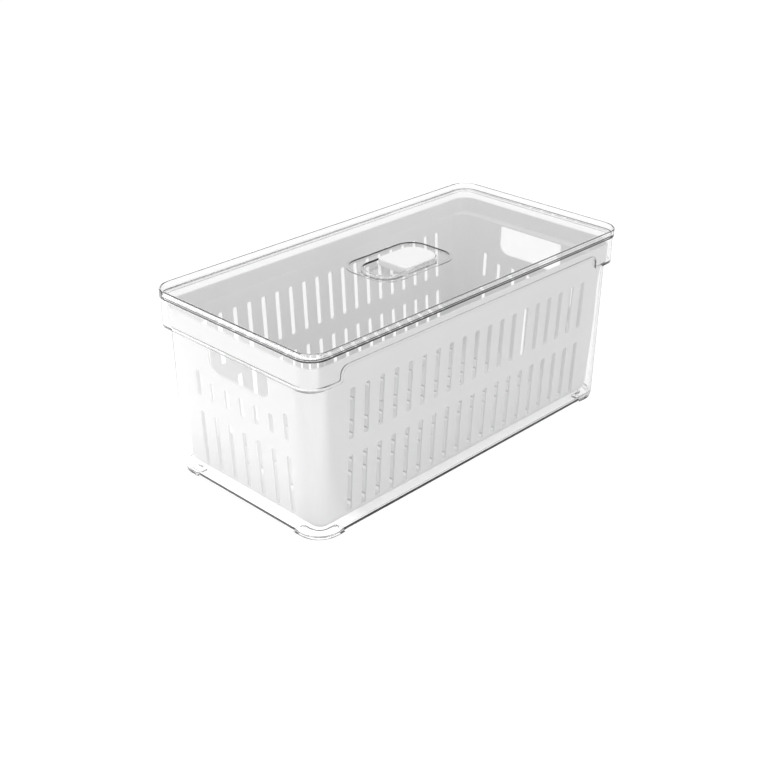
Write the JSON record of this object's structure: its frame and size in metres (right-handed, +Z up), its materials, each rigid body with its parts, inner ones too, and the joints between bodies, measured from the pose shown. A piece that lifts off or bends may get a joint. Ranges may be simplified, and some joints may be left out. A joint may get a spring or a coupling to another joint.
{
  "type": "fridge storage bin",
  "caption": "Clear rectangular storage bin with stepped collar and corner feet, a lift-out slotted colander basket with hand holes, and a flat lid with an upstanding lip and a sliding air vent.",
  "frame": {"origin": "centre of the base, on the shelf under the feet", "axes": "+X along the length, towards the end of the vent pocket where the slider shuts; +Y across; +Z up"},
  "size_m": [0.315, 0.157, 0.1375],
  "materials": {
    "bin_clear": "clear, polished",
    "basket_white": "fine satin",
    "lid_clear": "clear, polished",
    "slider_white": "smooth semi-gloss"
  },
  "bodies": {
    "bin": {"bin": "bin_clear"},
    "basket": {"basket": "basket_white"},
    "lid": {"lid": "lid_clear"},
    "vent_slider": {"vent_slider": "slider_white"}
  },
  "joints": [
    {"name": "basket_lift", "type": "slide", "parent": "bin", "child": "basket", "axis": [0, 0, 1], "range_m": [0, 0.14]},
    {"name": "lid_lift", "type": "slide", "parent": "basket", "child": "lid", "axis": [0, 0, 1], "range_m": [0, 0.05]},
    {"name": "vent_slide", "type": "slide", "parent": "lid", "child": "vent_slider", "axis": [1, 0, 0], "range_m": [-0.012, 0]}
  ]
}
